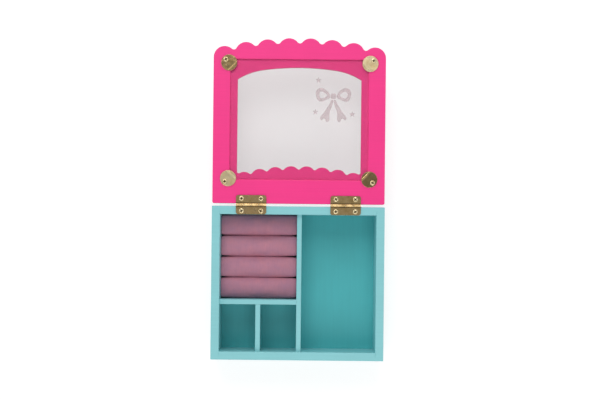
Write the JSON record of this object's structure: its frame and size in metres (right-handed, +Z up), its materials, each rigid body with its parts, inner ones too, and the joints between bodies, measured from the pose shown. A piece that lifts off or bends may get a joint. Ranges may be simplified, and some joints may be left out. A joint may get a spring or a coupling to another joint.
{
  "type": "jewellery box",
  "caption": "Painted board jewellery box with a scalloped window lid on brass butt hinges, open compartments and a bay of velvet ring rolls.",
  "frame": {"origin": "middle of the underside of the box", "axes": "+X to the right seen from the front, +Y to the hinges and the opened lid, +Z up"},
  "size_m": [0.173, 0.3222, 0.0565],
  "materials": {
    "turquoise_paint": "turquoise satin paint on fibreboard",
    "pink_paint": "hot pink satin paint on fibreboard",
    "pink_velvet": "dusty pink short-pile velvet",
    "clear_acrylic": "clear polished acrylic sheet",
    "brass": "polished stamped brass, slightly tarnished"
  },
  "bodies": {
    "box": {"front_wall": "turquoise_paint", "back_wall": "turquoise_paint", "left_wall": "turquoise_paint", "right_wall": "turquoise_paint", "floor_panel": "turquoise_paint", "long_divider": "turquoise_paint", "cross_divider": "turquoise_paint", "short_divider": "turquoise_paint", "ring_roll_1": "pink_velvet", "ring_roll_2": "pink_velvet", "ring_roll_3": "pink_velvet", "ring_roll_4": "pink_velvet", "left_hinge_box_leaf": "brass", "right_hinge_box_leaf": "brass", "left_hinge_pin": "brass", "right_hinge_pin": "brass", "hinge_box_screws": "brass"},
    "lid": {"lid_face_board": "pink_paint", "lid_back_frame": "pink_paint", "window_pane": "clear_acrylic", "left_hinge_lid_leaf": "brass", "right_hinge_lid_leaf": "brass", "hinge_lid_screws": "brass", "turn_button_screws": "brass"},
    "turn_button_back_left": {"turn_button_back_left": "brass"},
    "turn_button_back_right": {"turn_button_back_right": "brass"},
    "turn_button_front_left": {"turn_button_front_left": "brass"},
    "turn_button_front_right": {"turn_button_front_right": "brass"}
  },
  "joints": [
    {"name": "lid_hinge", "type": "hinge", "parent": "box", "child": "lid", "pos_m": [0, 0.0783, 0.05505], "axis": [1, 0, 0], "range_deg": [0, 180]},
    {"name": "turn_button_back_left_turn", "type": "hinge", "parent": "lid", "child": "turn_button_back_left", "pos_m": [-0.0739, 0.1013, 0.0541], "axis": [0, 0, 1], "continuous": true},
    {"name": "turn_button_back_right_turn", "type": "hinge", "parent": "lid", "child": "turn_button_back_right", "pos_m": [0.0739, 0.1013, 0.0541], "axis": [0, 0, 1], "continuous": true},
    {"name": "turn_button_front_left_turn", "type": "hinge", "parent": "lid", "child": "turn_button_front_left", "pos_m": [-0.0739, 0.2235, 0.0541], "axis": [0, 0, 1], "continuous": true},
    {"name": "turn_button_front_right_turn", "type": "hinge", "parent": "lid", "child": "turn_button_front_right", "pos_m": [0.0739, 0.2235, 0.0541], "axis": [0, 0, 1], "continuous": true}
  ]
}
